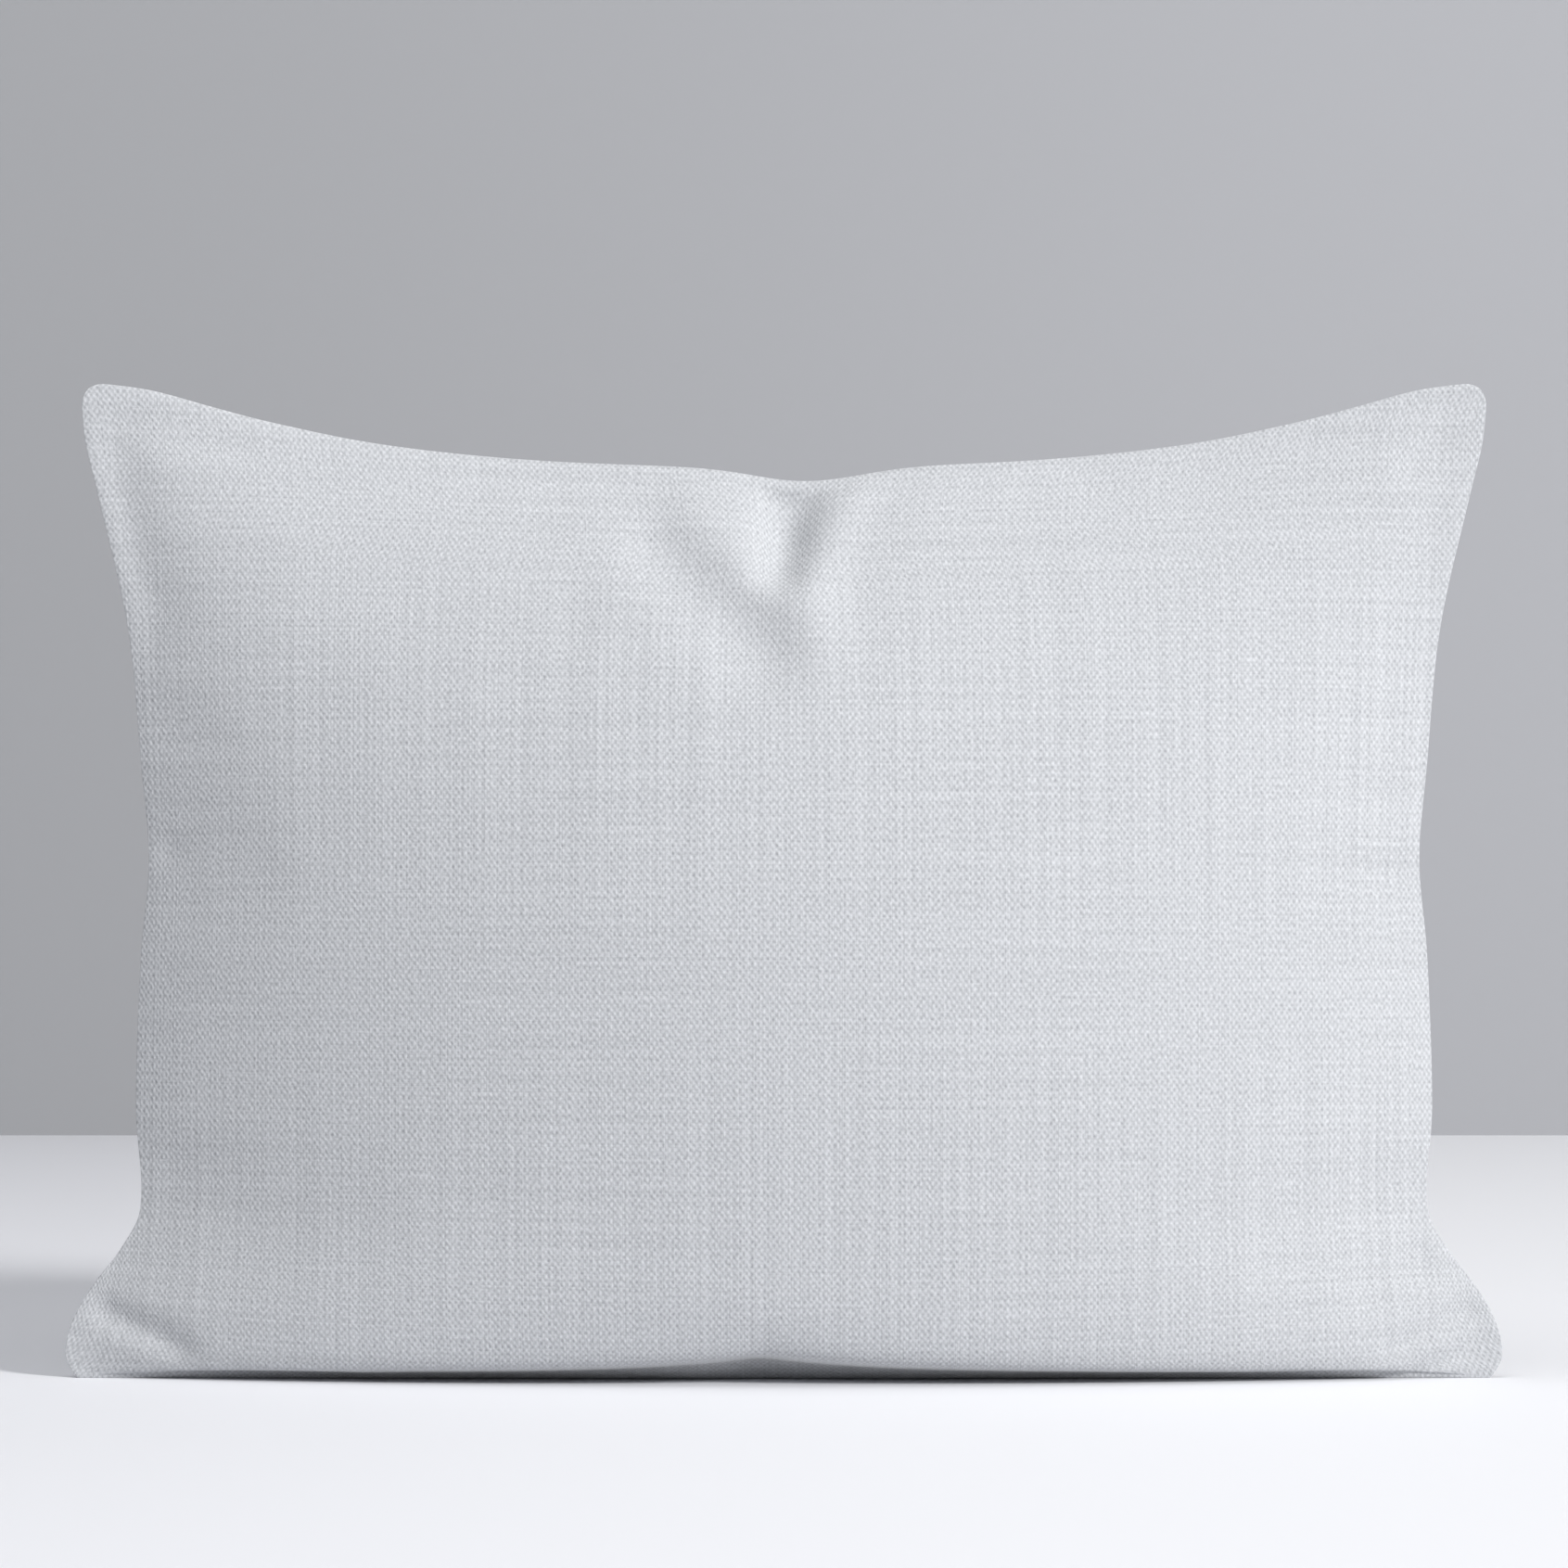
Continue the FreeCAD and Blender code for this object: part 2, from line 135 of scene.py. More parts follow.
CENTRE_Y = next(j for j in frame["joints"] if j["name"] == "zip_travel")["pos_m"][1]

# ---- care label -------------------------------------------------------------------------
LABEL_Z = (0.196, 0.224)
LABEL_REACH = (3.0 * MM, 37.0 * MM)  # from the side seam
LABEL_THICKNESS = 0.3 * MM

# ---- folds in the front cloth: start and end (x, z), half width, depth (ridges < 0) -------
FRONT_FOLDS = (
    ((0.003, 0.332), (-0.002, 0.286), 0.007, 6.8 * MM),  # groove under the top notch
    ((0.007, 0.332), (0.001, 0.300), 0.010, 3.6 * MM),  # which widens to the right at the top
    ((0.025, 0.326), (0.008, 0.278), 0.010, -2.6 * MM),  # fold that rises to its right
    ((-0.032, 0.302), (0.008, 0.268), 0.013, -2.2 * MM),  # ridge that runs down to the right
    ((-0.043, 0.290), (-0.009, 0.254), 0.015, 3.5 * MM),  # soft valley below that ridge
    ((-0.244, 0.318), (-0.222, 0.272), 0.016, 0.9 * MM),  # hollow below the upper left corner
    ((0.242, 0.340), (0.222, 0.322), 0.005, 1.4 * MM),  # creases in the upper right corner
    ((-0.230, 0.185), (-0.216, 0.187), 0.004, 1.2 * MM),  # pinch at the left waist
    ((0.230, 0.184), (0.206, 0.177), 0.004, 1.5 * MM),  # pinch at the right waist
    ((-0.250, 0.028), (-0.212, 0.012), 0.004, 3.2 * MM),  # crease over the left ear
    ((0.246, 0.025), (0.214, 0.012), 0.0035, 3.4 * MM),  # creases over the right ear
    ((0.249, 0.013), (0.220, 0.001), 0.0035, 3.0 * MM),
    ((0.224, 0.041), (0.204, 0.034), 0.0070, 2.0 * MM),  # soft hollow above them
)
BACK_FOLDS = (
    ((-0.006, 0.330), (0.004, 0.284), 0.009, 5.0 * MM),
    ((0.242, 0.330), (0.204, 0.256), 0.012, 2.4 * MM),
    ((-0.240, 0.335), (-0.206, 0.270), 0.012, 2.0 * MM),
    ((-0.248, 0.026), (-0.205, 0.010), 0.006, 2.8 * MM),
    ((0.248, 0.028), (0.206, 0.010), 0.006, 3.2 * MM),
)
FOLD_SHARE = 0.8  # the deepest a fold may go, as a share of the cloth's distance from the middle
NOTCH_X, NOTCH_WIDTH, NOTCH_DEPTH = 0.008, 0.026, 5.0 * MM  # dip in the top seam
NOTCH_FROM_Z = 0.20  # the dip fades out down to here

# ---- cloth grid -----------------------------------------------------------------------------
ROWS_BELOW, ROWS_ABOVE = 24, 66
EVEN_ROWS = 0.65  # share of even spacing in the rows above; the rest gets finer upwards
COLUMNS_OUTSIDE, COLUMNS_ALONG_ZIP = 20, 84
SIM_FRAMES = 20
SIM_CAP = 3.0 * MM  # the farthest that the simulation may move the cloth
SIM_FADE = 0.016  # how far from a seam the simulated movement is still held back
SIM_ZIP_HOLD = 0.9  # cloth that lies on the zip's cone by more than this share is pinned
FOLD_FADE = 0.0096  # how far from a seam the folds are still held back


def smooth(t):
    """An eased step from 0 at t = 0 to 1 at t = 1."""
    t = np.clip(t, 0.0, 1.0)
    return t * t * (3 - 2 * t)


def through(outline, at):
    """Values on the same smooth cubic through an outline's points as in the CAD."""
    places, values = (np.array(column) for column in zip(*outline))
    slopes = np.empty(len(places))
    slopes[1:-1] = (values[2:] - values[:-2]) / (places[2:] - places[:-2])
    slopes[0] = (values[1] - values[0]) / (places[1] - places[0])
    slopes[-1] = (values[-1] - values[-2]) / (places[-1] - places[-2])
    i = np.clip(np.searchsorted(places, at, side="right") - 1, 0, len(places) - 2)
    h = places[i + 1] - places[i]
    t = np.clip((at - places[i]) / h, 0.0, 1.0)
    rise = (3 - 2 * t) * t * t * (values[i + 1] - values[i])
    return values[i] + rise + h * t * (1 - t) * ((1 - t) * slopes[i] - t * slopes[i + 1])


def eased_positive(t, width):
    """t above zero and 0 below it, with a rounded change from -width to width."""
    return np.where(np.abs(t) < width, (t + width) ** 2 / (4 * width), np.maximum(t, 0.0))


def side_half_width(z):
    """Half the pillow's width at a height."""
    return through(SIDE_OUTLINE, z)


def top_z(u):
    """Height of the top seam. u runs from -1 at the left side seam to 1 at the right."""
    return through(TOP_OUTLINE, np.abs(u) * TOP_HALF_WIDTH)


def rounded_corner(out, up):
    """Moves points near an upper corner, given in corner radii, onto a round corner."""
    out, up = np.maximum(0.0, out), np.maximum(0.0, up)
    return out * np.sqrt(1 - up * up / 2) - out, up * np.sqrt(1 - out * out / 2) - up


def bottom_z(u):
    """Where the crown would end below the table, if it weren't squashed flat there."""
    return -SQUASH_DEPTH * (1 - np.abs(u) ** SQUASH_POWER)


def across(u):
    """Share of the full crown from one side seam to the other."""
    return SIDE_ROUND * (1 - u * u) + (1 - SIDE_ROUND) * (1 - np.abs(u) ** SIDE_POWER)


def upward(z, low, high):
    """Share of the full crown from the bottom to the top seam."""
    above = (z - CROWN_Z) / (high - CROWN_Z)
    below = (CROWN_Z - z) / (CROWN_Z - low)
    return 1 - np.clip(np.where(z > CROWN_Z, above, below), 0.0, 1.0) ** EDGE_POWER


def zip_cone_y(x, z):
    """y of the cone that the back panels follow round the zip."""
    radius = ZIP_RADIUS + math.tan(ZIP_LEAN) * (z - ZIP_Z)
    return CENTRE_Y + np.sqrt(radius**2 - x**2)


def near_zip(x, z):
    """1 on the cone round the zip, 0 away from it."""
    near_z = 1 - smooth((np.abs(z - ZIP_Z) - BLEND_FULL_Z) / (BLEND_END_Z - BLEND_FULL_Z))
    near_x = 1 - smooth((np.abs(x) - BLEND_FULL_X) / (BLEND_END_X - BLEND_FULL_X))
    return near_z * near_x


def grid_lines():
    """u of the columns: even along the zip's slot, then finer towards the side seams."""
    u_slot = SLOT_HALF_LENGTH / side_half_width(np.array(ZIP_Z))
    along = np.linspace(-u_slot, u_slot, COLUMNS_ALONG_ZIP + 1)
    outside = u_slot + (1 - u_slot) * np.sin(np.linspace(0, math.pi / 2, COLUMNS_OUTSIDE + 1))
    return np.concatenate([-outside[:0:-1], along, outside[1:]])


COLUMN_U = grid_lines()
ROW_COUNT = ROWS_BELOW + ROWS_ABOVE + 3
QUADS = (len(COLUMN_U) - 1, ROW_COUNT - 1)
SLOT_ROW = ROWS_BELOW  # the row on the slot's lower edge; its middle and upper edge follow


def row_heights(low, high):
    """Heights of every row for columns that run from low to high."""
    half = SLOT_HALF_WIDTH * math.cos(ZIP_LEAN)
    low, high = low[:, None], high[:, None]
    below = np.linspace(0, 1, ROWS_BELOW + 1) * (ZIP_Z - half - low) + low
    even = np.linspace(0, 1, ROWS_ABOVE + 1)
    share = EVEN_ROWS * even + (1 - EVEN_ROWS) * np.sin(even * math.pi / 2)
    start = ZIP_Z + half
    above = share * (high - start) + start
    middle = np.full((len(low), 1), ZIP_Z)
    return np.concatenate([below, middle, above], axis=1)


def cover_grid(side):
    """Points of the cover before any fold, columns by rows. side is -1 front, +1 back."""
    low, high = bottom_z(COLUMN_U), top_z(COLUMN_U)
    z = row_heights(low, high)
    u = np.broadcast_to(COLUMN_U[:, None], z.shape)
    low, high = low[:, None], high[:, None]
    edge = side_half_width(z)
    out = 1 - (1 - np.abs(u)) * edge / CORNER_RADIUS
    shift_x, shift_z = rounded_corner(out, 1 - (high - z) / CORNER_RADIUS)
    x = u * edge + np.sign(u) * CORNER_RADIUS * shift_x
    y = CROWN * across(u) * upward(z, low, high) + RIM
    at_floor = CROWN * across(u) * upward(np.zeros_like(low), low, high) + RIM
    if side > 0:
        y += near_zip(x, z) * (zip_cone_y(x, z) - y)
    under = np.clip(z / np.minimum(low, -TINY), 0.0, 1.0)
    along = np.where(z < 0, (RIM - at_floor) * under, z)  # from the bend at the floor, up the face
    bend = FLOOR_BEND * across(u) + TINY
    y = np.where(z < 0, at_floor, y) - eased_positive(-along, bend)
    below = smooth((REST_SHARE - under) / (REST_SHARE - CLEAR_SHARE))
    lift = np.where(z < 0, below, smooth(1 - along / LIFT_FADE))
    arch = FLOOR_LIFT * (1 - u**LIFT_POWER) + ARCH_LIFT * np.exp(-np.abs(x - ARCH_X) / ARCH_REACH)
    z = eased_positive(along, bend) + arch * lift
    return np.stack([x, side * np.maximum(y, RIM), z + CORNER_RADIUS * shift_z], axis=-1)


def inner_grid(points, inset, depth):
    """The layer that lies inset from the cover's seam and depth inside its face."""
    x, y, z = points[..., 0], points[..., 1], points[..., 2]
    inner_x = x * (1 - inset / TOP_HALF_WIDTH)
    inner_y = np.sign(y) * np.maximum(np.abs(y) - depth, THINNEST_HALF)
    inner_z = depth + z * (1 - (inset + depth) / TOP_OUTLINE[-1][1])
    return np.stack([inner_x, inner_y, inner_z], axis=-1)


def runs(points):
    """Length of cloth from the first column and from the first row to each grid point."""
    steps_u = np.linalg.norm(np.diff(points, axis=0), axis=-1)
    steps_v = np.linalg.norm(np.diff(points, axis=1), axis=-1)
    run_u = np.concatenate([np.zeros((1, points.shape[1])), np.cumsum(steps_u, axis=0)])
    run_v = np.concatenate([np.zeros((points.shape[0], 1)), np.cumsum(steps_v, axis=1)], axis=1)
    return run_u, run_v


def flat_coordinates(points):
    """Each grid point's place on the flat cloth: lengths from the middle and fullest lines."""
    run_u, run_v = runs(points)
    middle = run_u[len(COLUMN_U) // 2]
    fullest = [np.interp(CROWN_Z, column[:, 2], run) for column, run in zip(points, run_v)]
    return np.stack([run_u - middle, run_v - np.array(fullest)[:, None], 0 * run_u], axis=-1)


def edge_distance(points):
    """Rough distance of each grid point to the nearest seam, along the grid."""
    run_u, run_v = runs(points)
    return np.minimum.reduce([run_u, run_u[-1:] - run_u, run_v, run_v[:, -1:] - run_v])


def folds(points, table):
    """How far the folds of a table push each point in."""
    x, z = points[..., 0], points[..., 2]
    total = np.zeros(x.shape)
    for start, end, half_width, depth in table:
        start, end = np.array(start), np.array(end)
        run = end - start
        t = ((x - start[0]) * run[0] + (z - start[1]) * run[1]) / (run @ run)
        beyond = np.maximum(np.abs(t - 0.5) - 0.5, 0.0) * np.linalg.norm(run)
        aside = (x - start[0]) * run[1] - (z - start[1]) * run[0]
        aside = aside / np.linalg.norm(run)
        total += depth * np.exp(-(aside**2 + beyond**2) / half_width**2)
    return total


def relax(name, points, side):
    """A short cloth simulation of one panel, held along its seams and round the zip."""
    mesh = sheet_mesh(name, points, side)
    sheet = bpy.data.objects.new(name, mesh)
    bpy.context.collection.objects.link(sheet)
    held = sheet.vertex_groups.new(name="held")
    fixed = edge_distance(points) < TINY
    if side > 0:
        fixed |= near_zip(points[..., 0], points[..., 2]) > SIM_ZIP_HOLD
    held.add([int(i) for i in np.flatnonzero(fixed.ravel())], 1.0, "REPLACE")
    cloth = sheet.modifiers.new("Cloth", "CLOTH")
    settings = cloth.settings
    settings.quality = 6
    settings.mass = 0.2
    settings.tension_stiffness = 20
    settings.compression_stiffness = 20
    settings.shear_stiffness = 8
    settings.bending_stiffness = 4
    settings.use_pressure = True
    settings.uniform_pressure_force = 1.0
    settings.shrink_min = -0.001
    settings.vertex_group_mass = "held"
    settings.effector_weights.gravity = 0
    for step in range(1, SIM_FRAMES + 1):
        bpy.context.scene.frame_set(step)
    shown = sheet.evaluated_get(bpy.context.evaluated_depsgraph_get())
    flat = np.empty(points.size)
    shown.data.vertices.foreach_get("co", flat)
    bpy.data.objects.remove(sheet)
    bpy.context.scene.frame_set(1)
    moved = flat.reshape(points.shape) - points
    length = np.linalg.norm(moved, axis=-1, keepdims=True)
    moved *= SIM_CAP * np.tanh(length / SIM_CAP) / np.maximum(length, TINY * SIM_CAP)
    return moved * smooth(edge_distance(points) / SIM_FADE)[..., None]


def grid_faces(columns, rows, side):
    """Vertex numbers of the grid's quads, wound so that their normals face outwards."""
    index = np.arange(columns * rows).reshape(columns, rows)
    a, b = index[:-1, :-1], index[1:, :-1]
    c, d = index[1:, 1:], index[:-1, 1:]
    order = (a, b, c, d) if side < 0 else (a, d, c, b)
    return np.stack(order, axis=-1)


def sheet_mesh(name, points, side):
    """A mesh of the whole grid."""
    columns, rows = points.shape[:2]
    mesh = bpy.data.meshes.new(name)
    faces = grid_faces(columns, rows, side).reshape(-1, 4).tolist()
    mesh.from_pydata(points.reshape(-1, 3).tolist(), [], faces)
    return mesh


def panel(name, points, side, chosen, turn_edges=True):
    """A cloth piece from the chosen grid quads, with its cut edges turned inwards."""
    columns, rows = points.shape[:2]
    faces = grid_faces(columns, rows, side)[chosen].reshape(-1, 4)
    flat = flat_coordinates(points).reshape(-1, 3)
    work = bmesh.new()
    on_flat = work.verts.layers.float_vector.new("cloth")
    made = {}
    coordinates = points.reshape(-1, 3)
    for number in sorted(set(faces.ravel().tolist())):
        vertex = work.verts.new(coordinates[number])
        vertex[on_flat] = Vector(flat[number])
        made[number] = vertex
    for face in faces.tolist():
        work.faces.new([made[number] for number in face])
    work.normal_update()
    if turn_edges:
        border = [e for e in work.edges if e.is_boundary]
        grown = bmesh.ops.extrude_edge_only(work, edges=border)
        source = {}
        for edge in border:
            for vertex in edge.verts:
                source[tuple(vertex.co)] = (vertex.normal.copy(), Vector(vertex[on_flat]))
        for vertex in (g for g in grown["geom"] if isinstance(g, bmesh.types.BMVert)):
            normal, place = source[tuple(vertex.co)]
            vertex[on_flat] = place
            if abs(vertex.co.y) < SEAM_REACH:
                vertex.co.y = side * SEAM_HALF_GAP
            else:
                vertex.co -= normal * TURN_IN
    mesh = bpy.data.meshes.new(name)
    work.to_mesh(mesh)
    work.free()
    mesh.shade_smooth()
    piece = bpy.data.objects.new(name, mesh)
    bpy.context.collection.objects.link(piece)
    finer = piece.modifiers.new("Finer", "SUBSURF")
    finer.levels = finer.render_levels = 1
    return piece


def curve(name, lines, radius, cyclic=False):
    """Thread or wire: one curve object with a poly spline for each line of points."""
    data = bpy.data.curves.new(name, "CURVE")
    data.dimensions = "3D"
    data.bevel_depth = radius
    data.bevel_resolution = 1
    data.use_fill_caps = True
    for line in lines:
        spline = data.splines.new("POLY")
        spline.points.add(len(line) - 1)
        rows = np.concatenate([np.array(line, float), np.ones((len(line), 1))], axis=1)
        spline.points.foreach_set("co", rows.ravel())
        spline.use_cyclic_u = cyclic
    piece = bpy.data.objects.new(name, data)
    bpy.context.collection.objects.link(piece)
    return piece


def on_zip(s, n, c):
    """A point at s along the zip's arc, n outwards from the cloth and c up the panel."""
    radius = ZIP_RADIUS + c * math.sin(ZIP_LEAN) + n * math.cos(ZIP_LEAN)
    angle = s / ZIP_RADIUS
    z = ZIP_Z + c * math.cos(ZIP_LEAN) - n * math.sin(ZIP_LEAN)
    return (radius * math.sin(angle), CENTRE_Y + radius * math.cos(angle), z)


def coil(name, sign):
    """The nylon monofilament wound along one tape's edge."""
    turns = int(2 * ZIP_HALF_LENGTH / COIL_PITCH)
    per_turn = 10
    half_wide = COIL_WIDTH / 2 - COIL_WIRE
    half_high = COIL_HEIGHT / 2 - COIL_WIRE
    middle_c = sign * (CHAIN_HALF_GAP + COIL_WIDTH / 2)
    middle_n = TAPE_FACE + COIL_HEIGHT / 2
    line = []
    for i in range(turns * per_turn + 1):
        angle = 2 * math.pi * i / per_turn
        s = -ZIP_HALF_LENGTH + COIL_PITCH * i / per_turn
        c = middle_c + sign * half_wide * math.cos(angle)
        line.append(on_zip(s, middle_n + half_high * math.sin(angle), c))
    return curve(name, [line], COIL_WIRE)


def stitch_row(name, c, reach):
    """Lockstitches along the zip that rise out of the cloth and dive back in."""
    lines = []
    count = int(reach / STITCH_PITCH)
    profile = STITCH_SHAPE + tuple((-share, n) for share, n in STITCH_SHAPE[-2::-1])
    for i in range(-count, count + 1):
        s = i * STITCH_PITCH
        lines.append([on_zip(s + share * STITCH_LENGTH, n, c) for share, n in profile])
    return curve(name, lines, THREAD_RADIUS)


def bar_tacks(name):
    """Dense zigzag sewing across both ends of the zip opening."""
    lines = []
    reach = SLOT_HALF_WIDTH + TACK_OVERLAP
    for sign in (-1, 1):
        line = []
        for i in range(TACK_CROSSINGS + 1):
            c = reach * (2 * i / TACK_CROSSINGS - 1)
            zigzag = TACK_HALF_WIDTH if i % 2 else -TACK_HALF_WIDTH
            line.append(on_zip(sign * (SLOT_HALF_LENGTH + TACK_FROM_SLOT + zigzag), TACK_LIFT, c))
        lines.append(line)
    return curve(name, lines, TACK_RADIUS)


# ---- materials ---------------------------------------------------------------------------


class Nodes:
    """Short calls for building one material's node tree."""

    def __init__(self, name):
        self.material = bpy.data.materials.new(name)
        self.material.use_nodes = True
        self.tree = self.material.node_tree
        self.shader = self.tree.nodes["Principled BSDF"]

    def put(self, socket, value):
        if isinstance(value, bpy.types.NodeSocket):
            self.tree.links.new(value, socket)
        elif value is not None:
            socket.default_value = value

    def math(self, operation, a, b=None):
        node = self.tree.nodes.new("ShaderNodeMath")
        node.operation = operation
        self.put(node.inputs[0], a)
        self.put(node.inputs[1], b)
        return node.outputs[0]

    def place(self, attribute):
        """The point as three numbers: on the flat cloth, or in the object's own space."""
        if attribute:
            node = self.tree.nodes.new("ShaderNodeAttribute")
            node.attribute_name = attribute
            return node.outputs["Vector"]
        return self.tree.nodes.new("ShaderNodeTexCoord").outputs["Object"]

    def scaled(self, vector, factors):
        node = self.tree.nodes.new("ShaderNodeVectorMath")
        node.operation = "MULTIPLY"
        self.put(node.inputs[0], vector)
        node.inputs[1].default_value = factors
        return node.outputs[0]

    def noise(self, vector, scale=1.0, detail=2.0, rough=0.5):
        node = self.tree.nodes.new("ShaderNodeTexNoise")
        node.inputs["Scale"].default_value = scale
        node.inputs["Detail"].default_value = detail
        node.inputs["Roughness"].default_value = rough
        self.put(node.inputs["Vector"], vector)
        return node.outputs["Fac"]

    def ramp(self, value, low, high, out_low=0.0, out_high=1.0):
        node = self.tree.nodes.new("ShaderNodeMapRange")
        node.interpolation_type = "SMOOTHSTEP"
        self.put(node.inputs["Value"], value)
        node.inputs["From Min"].default_value = low
        node.inputs["From Max"].default_value = high
        node.inputs["To Min"].default_value = out_low
        node.inputs["To Max"].default_value = out_high
        return node.outputs["Result"]

    def mix(self, amount, low, high):
        node = self.tree.nodes.new("ShaderNodeMix")
        node.data_type = "RGBA"
        self.put(node.inputs["Factor"], amount)
        colour_a, colour_b = node.inputs[6], node.inputs[7]
        colour_a.default_value = (*low, 1)
        colour_b.default_value = (*high, 1)
        return node.outputs[2]

    def bump(self, height, distance, strength=1.0):
        node = self.tree.nodes.new("ShaderNodeBump")
        node.inputs["Distance"].default_value = distance
        node.inputs["Strength"].default_value = strength
        self.put(node.inputs["Height"], height)
        self.put(self.shader.inputs["Normal"], node.outputs["Normal"])

    def finish(self, colour, roughness, sheen=0.0, metallic=0.0):
        self.put(self.shader.inputs["Base Color"], colour)
        self.put(self.shader.inputs["Roughness"], roughness)
        self.shader.inputs["Sheen Weight"].default_value = sheen
        self.shader.inputs["Metallic"].default_value = metallic
        return self.material


def weave(name, attribute, warp, weft, dark, light, uneven=1.0, depth=0.3 * MM, axes=(0, 1)):
    """Plain weave of the given thread pitches, with threads of uneven tone and slubs, and painted
    shade in the gaps where the threads cross.

    attribute holds the cloth's flat coordinates, and axes says which two of them to use.
    """
    n = Nodes(name)
    split = n.tree.nodes.new("ShaderNodeSeparateXYZ")
    n.put(split.inputs[0], n.place(attribute))
    flat = n.tree.nodes.new("ShaderNodeCombineXYZ")
    n.put(flat.inputs[0], split.outputs[axes[0]])
    n.put(flat.inputs[1], split.outputs[axes[1]])
    place = flat.outputs[0]
    wander = n.noise(place, scale=22, detail=3)
    jitter = n.noise(place, scale=0.3 / warp, detail=1)
    drift = n.math("ADD", n.math("MULTIPLY", wander, 4.0), n.math("MULTIPLY", jitter, 2.0))
    threads = []
    for axis, pitch in zip(axes, (warp, weft)):
        phase = n.math("MULTIPLY", split.outputs[axis], math.pi / pitch)
        threads.append(n.math("SINE", n.math("ADD", phase, drift)))
    # the lattice darkens the colour at the gaps between crossing threads, as painted shade there;
    # it also drives the bump
    lattice = n.math("ADD", n.math("MULTIPLY", n.math("MULTIPLY", *threads), 0.5), 0.5)
    weft_tone = n.ramp(n.noise(n.scaled(place, (7, 1.5 / weft, 1)), detail=2), 0.3, 0.7)
    warp_tone = n.ramp(n.noise(n.scaled(place, (1.5 / warp, 6, 1)), detail=2), 0.3, 0.7)
    weft_slub = n.ramp(n.noise(n.scaled(place, (26, 0.55 / weft, 1)), detail=1.5), 0.56, 0.80)
    tone = n.math("ADD", n.math("MULTIPLY", weft_tone, 0.42), n.math("MULTIPLY", warp_tone, 0.58))
    tone = n.math("ADD", tone, n.math("MULTIPLY", weft_slub, 0.3))
    specks = n.noise(place, scale=0.7 / warp, detail=2)
    toned = n.math("MULTIPLY", tone, 0.21 * uneven)
    flecked = n.math("ADD", toned, n.math("MULTIPLY", specks, 0.65 * uneven))
    # the colour mixes painted shade from the lattice with the threads' own uneven tone, slubs and
    # flecks
    tone_and_gap_shade = n.math("ADD", n.math("MULTIPLY", lattice, 0.36), flecked)
    n.bump(tone_and_gap_shade, depth)
    return n.finish(n.mix(tone_and_gap_shade, dark, light), n.ramp(specks, 0.2, 0.8, 0.82, 0.95), sheen=0.4)


def thread_material():
    """Spun polyester thread with a fine twist."""
    n = Nodes("sewing_thread")
    place = n.place(None)
    twist = n.noise(n.scaled(place, (2600, 900, 2600)), detail=1)
    n.bump(twist, 0.08 * MM)
    colour = n.mix(twist, (0.52, 0.53, 0.55), (0.78, 0.79, 0.82))
    return n.finish(colour, n.ramp(twist, 0, 1, 0.5, 0.7), sheen=0.1)


def coil_material():
    """Semi-clear nylon with a soft shine and slight rubbing."""
    n = Nodes("zip_nylon")
    wear = n.noise(n.place(None), scale=900, detail=3)
    n.bump(wear, 0.03 * MM)
    colour = n.mix(wear, (0.58, 0.59, 0.60), (0.74, 0.75, 0.77))
    return n.finish(colour, n.ramp(wear, 0.3, 0.7, 0.3, 0.5))


def metal_material():
    """Lacquered zinc of the slider, pull and stops: fine casting grain and rubbed edges."""
    n = Nodes("zip_lacquered_metal")
    place = n.place(None)
    grain = n.noise(place, scale=2500, detail=4)
    rubbed = n.ramp(n.noise(place, scale=420, detail=5, rough=0.7), 0.55, 0.75)
    n.bump(grain, 0.02 * MM, 0.6)
    colour = n.mix(rubbed, (0.50, 0.51, 0.54), (0.68, 0.69, 0.71))
    return n.finish(colour, n.ramp(grain, 0.2, 0.8, 0.28, 0.46), metallic=0.7)


def fibre_material():
    """Tangled polyester fibre."""
    n = Nodes("fibre")
    place = n.place(None)
    tangle = n.noise(n.scaled(place, (160, 420, 160)), detail=6, rough=0.7)
    n.bump(tangle, 1.2 * MM)
    colour = n.mix(tangle, (0.70, 0.70, 0.70), (0.90, 0.90, 0.90))
    return n.finish(colour, n.ramp(tangle, 0, 1, 0.8, 1.0), sheen=0.3)


def stage_material_with_painted_light(name, low, high, roughness):
    """A plain matte surface whose grey shifts gently from left to right: painted shade on the left
    and painted light on the right, as if from the key light on the right.
    """
    n = Nodes(name)
    split = n.tree.nodes.new("ShaderNodeSeparateXYZ")
    n.put(split.inputs[0], n.place(None))
    # painted shade and light: the grey is darker to the left and lighter to the right, as the key
    # light on the right would make it
    amount = n.ramp(split.outputs[0], -PAINTED_LIGHT_SHIFT_X, PAINTED_LIGHT_SHIFT_X)
    return n.finish(n.mix(amount, low, high), roughness)


# ---- stage ---------------------------------------------------------------------------------
CAMERA_DISTANCE = 1.5
CAMERA_HEIGHT = 0.152
FRAME_WIDTH = 0.5547  # width of the view at the pillow
FRAME_CENTRE_Z = 0.210
WALL_Y = 1.94
WALL_TOP = 4.0
STAGE_REACH = 6.0
PAINTED_LIGHT_SHIFT_X = 0.6  # the stage's greys shift from painted shade this far left to painted light this far right


def plane(name, corners, material):
    """One flat surface of the stage."""
    mesh = bpy.data.meshes.new(name)
    mesh.from_pydata(corners, [], [(0, 1, 2, 3)])
    piece = bpy.data.objects.new(name, mesh)
    bpy.context.collection.objects.link(piece)
    mesh.materials.append(material)
    return piece


def area_light(name, place, target, size, power, colour):
    """A round soft light, aimed at its target."""
    light = bpy.data.lights.new(name, "AREA")
    light.shape = "DISK"
    light.size = size
    light.energy = power
    light.color = colour
    holder = bpy.data.objects.new(name, light)
    holder.location = place
    holder.rotation_euler = (Vector(target) - Vector(place)).to_track_quat("-Z", "Y").to_euler()
    bpy.context.collection.objects.link(holder)


